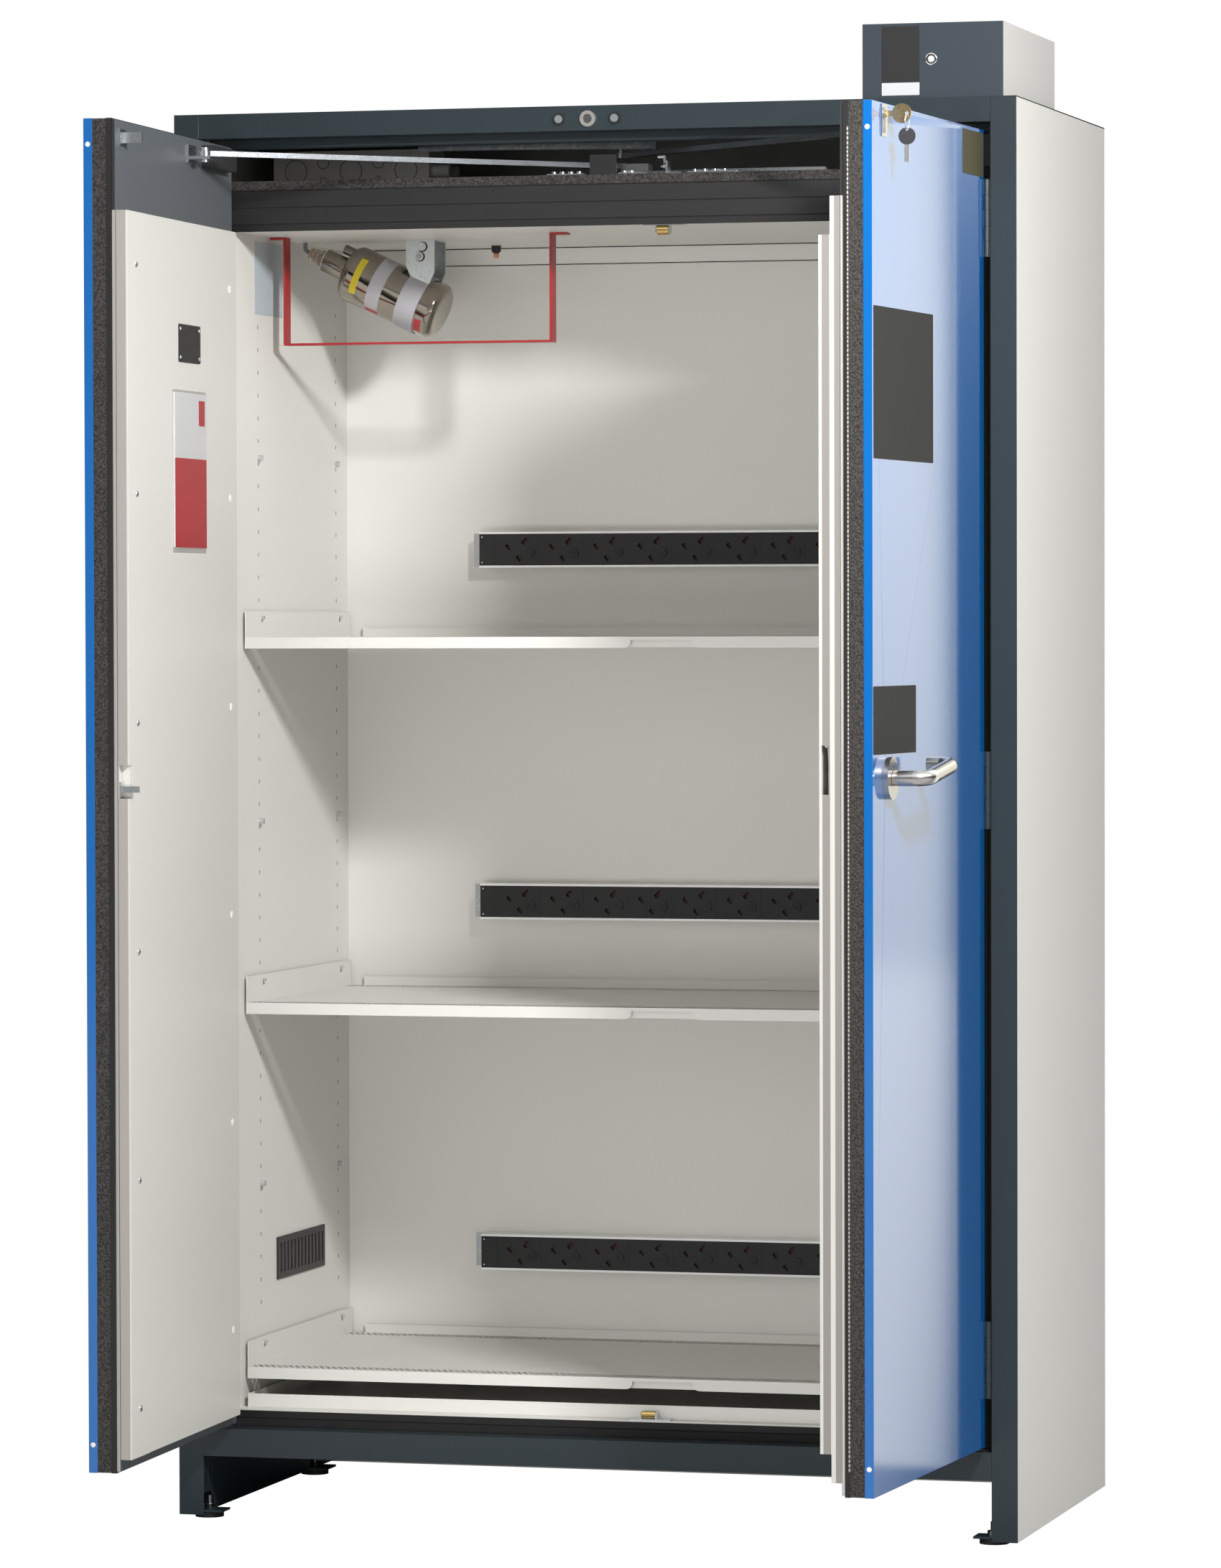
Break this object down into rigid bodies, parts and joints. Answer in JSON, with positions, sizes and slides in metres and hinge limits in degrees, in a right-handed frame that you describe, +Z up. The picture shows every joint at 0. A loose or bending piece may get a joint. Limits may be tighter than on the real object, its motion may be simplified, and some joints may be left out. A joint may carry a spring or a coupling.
{
  "type": "battery cabinet",
  "caption": "Tall two-door fire-resistant cabinet for storing and charging batteries, with shelves, socket strips, door stays, exhaust box and levelling feet.",
  "frame": {"origin": "on the floor, under the centre of the carcass", "axes": "+Z up, front towards -Y, right-hand side towards +X"},
  "size_m": [1.1948, 1.1704, 2.054],
  "materials": {
    "carcass_grey": "satin",
    "anthracite": "orange peel gloss",
    "lining": "satin",
    "boards": "matte",
    "black_seal": "matte",
    "door_core": "matte",
    "door_blue": "orange peel gloss",
    "plate_grey": "satin",
    "zinc": "satin",
    "hinge_steel": "satin",
    "white_plastic": "matte",
    "rail_aluminium": "satin",
    "socket_black": "satin",
    "can_metal": "satin",
    "cable_grey": "matte",
    "guard_red": "gloss",
    "duct_grey": "satin",
    "black_plastic": "matte",
    "lamp": "gloss",
    "chrome": "polished",
    "brass": "satin",
    "nickel": "satin",
    "foot_black": "matte"
  },
  "bodies": {
    "carcass": {"side_panel_left": "carcass_grey", "side_panel_right": "carcass_grey", "rear_panel": "anthracite", "top_panel": "anthracite", "front_posts": "anthracite", "top_fascia": "anthracite", "base_frame": "anthracite", "liner_left": "lining", "liner_right": "lining", "liner_rear": "lining", "liner_ceiling": "lining", "liner_floor": "lining", "shelf_upper": "lining", "shelf_middle": "lining", "shelf_lower": "lining", "sump_tray": "lining", "insulation_boards": "boards", "frame_seals": "black_seal", "shelf_studs": "zinc", "extinguisher_bracket": "zinc", "stay_mechanism": "zinc", "roller_brackets": "zinc", "hinge_leaves_frame": "hinge_steel", "junction_box": "white_plastic", "socket_rails": "rail_aluminium", "socket_modules": "socket_black", "extinguisher_canister": "can_metal", "extinguisher_cable": "cable_grey", "guard_bar": "guard_red", "exhaust_box": "duct_grey", "vent_grille": "black_plastic", "fascia_lamps": "lamp"},
    "left_door": {"left_door_skin": "door_blue", "left_door_core": "door_core", "left_door_plate": "plate_grey", "left_door_panel": "lining", "left_door_seals": "black_seal", "left_door_fittings": "zinc"},
    "right_door": {"right_door_skin": "door_blue", "right_door_core": "door_core", "right_door_plate": "plate_grey", "right_door_panel": "lining", "right_door_seals": "black_seal", "right_door_fittings": "zinc", "door_escutcheons": "nickel"},
    "left_stay": {"left_stay_rod": "zinc"},
    "right_stay": {"right_stay_rod": "zinc"},
    "handle": {"door_handle": "chrome"},
    "hook": {"latch_hook": "zinc"},
    "key": {"lock_key": "brass"},
    "spare": {"spare_key": "chrome"},
    "hold_lever": {"hold_open_lever": "zinc"},
    "reset": {"reset_button": "chrome"},
    "roller_top": {"catch_roller_upper": "brass"},
    "roller_bottom": {"catch_roller_lower": "brass"},
    "fan": {"fan_impeller": "black_plastic"},
    "foot_front_left": {"levelling_foot_front_left": "foot_black"},
    "foot_rear_left": {"levelling_foot_rear_left": "foot_black"},
    "foot_front_right": {"levelling_foot_front_right": "foot_black"},
    "foot_rear_right": {"levelling_foot_rear_right": "foot_black"}
  },
  "joints": [
    {"name": "left_door_hinge", "type": "hinge", "parent": "carcass", "child": "left_door", "pos_m": [-0.5565, -0.311, 1.019], "axis": [0, 0, 1], "range_deg": [-4.4, 87.6]},
    {"name": "right_door_hinge", "type": "hinge", "parent": "carcass", "child": "right_door", "pos_m": [0.5565, -0.311, 1.019], "axis": [0, 0, 1], "range_deg": [-87.2, 4.8]},
    {"name": "left_stay_pivot", "type": "hinge", "parent": "left_door", "child": "left_stay", "pos_m": [-0.47806, -0.5229, 1.883], "axis": [0, 0, 1], "range_deg": [-120, 6.5]},
    {"name": "right_stay_pivot", "type": "hinge", "parent": "right_door", "child": "right_stay", "pos_m": [0.47658, -0.52235, 1.895], "axis": [0, 0, 1], "range_deg": [-7, 121]},
    {"name": "door_handle_turn", "type": "hinge", "parent": "right_door", "child": "handle", "pos_m": [0.52923, -0.79695, 1.047], "axis": [0.9988, -0.0489, 0], "range_deg": [-45, 0]},
    {"name": "latch_hook_turn", "type": "hinge", "parent": "right_door", "child": "hook", "pos_m": [0.46592, -0.82219, 1.052], "axis": [0.9988, -0.0489, 0], "range_deg": [0, 75]},
    {"name": "lock_key_turn", "type": "hinge", "parent": "right_door", "child": "key", "pos_m": [0.52868, -0.80823, 1.893], "axis": [0.9988, -0.0489, 0], "range_deg": [0, 90]},
    {"name": "spare_key_swing", "type": "hinge", "parent": "key", "child": "spare", "pos_m": [0.55964, -0.80975, 1.893], "axis": [0.0489, 0.9988, 0], "range_deg": [-20, 20]},
    {"name": "hold_open_lever_tilt", "type": "hinge", "parent": "carcass", "child": "hold_lever", "pos_m": [0.092, -0.243, 1.872], "axis": [1, 0, 0], "range_deg": [-10, 10]},
    {"name": "reset_button_press", "type": "slide", "parent": "carcass", "child": "reset", "axis": [0, 1, 0], "range_m": [0, 0.003], "stiffness_N_per_m": 300},
    {"name": "upper_roller_spin", "type": "hinge", "parent": "carcass", "child": "roller_top", "pos_m": [0.093, -0.256, 1.7843], "axis": [1, 0, 0], "continuous": true},
    {"name": "lower_roller_spin", "type": "hinge", "parent": "carcass", "child": "roller_bottom", "pos_m": [0.0685, -0.256, 0.1565], "axis": [1, 0, 0], "continuous": true},
    {"name": "fan_spin", "type": "hinge", "parent": "carcass", "child": "fan", "pos_m": [0.48, 0.0235, 2.003], "axis": [0, 1, 0], "continuous": true},
    {"name": "foot_front_left_turn", "type": "hinge", "parent": "carcass", "child": "foot_front_left", "pos_m": [-0.5595, -0.285, 0], "axis": [0, 0, 1], "continuous": true},
    {"name": "foot_rear_left_turn", "type": "hinge", "parent": "carcass", "child": "foot_rear_left", "pos_m": [-0.5595, 0.194, 0], "axis": [0, 0, 1], "continuous": true},
    {"name": "foot_front_right_turn", "type": "hinge", "parent": "carcass", "child": "foot_front_right", "pos_m": [0.5595, -0.285, 0], "axis": [0, 0, 1], "continuous": true},
    {"name": "foot_rear_right_turn", "type": "hinge", "parent": "carcass", "child": "foot_rear_right", "pos_m": [0.5595, 0.194, 0], "axis": [0, 0, 1], "continuous": true}
  ],
  "couplings": [
    {"joint": "left_stay_pivot", "follows": "left_door_hinge", "ratio": -1.365},
    {"joint": "right_stay_pivot", "follows": "right_door_hinge", "ratio": -1.38},
    {"joint": "latch_hook_turn", "follows": "door_handle_turn", "ratio": -1.6667}
  ]
}
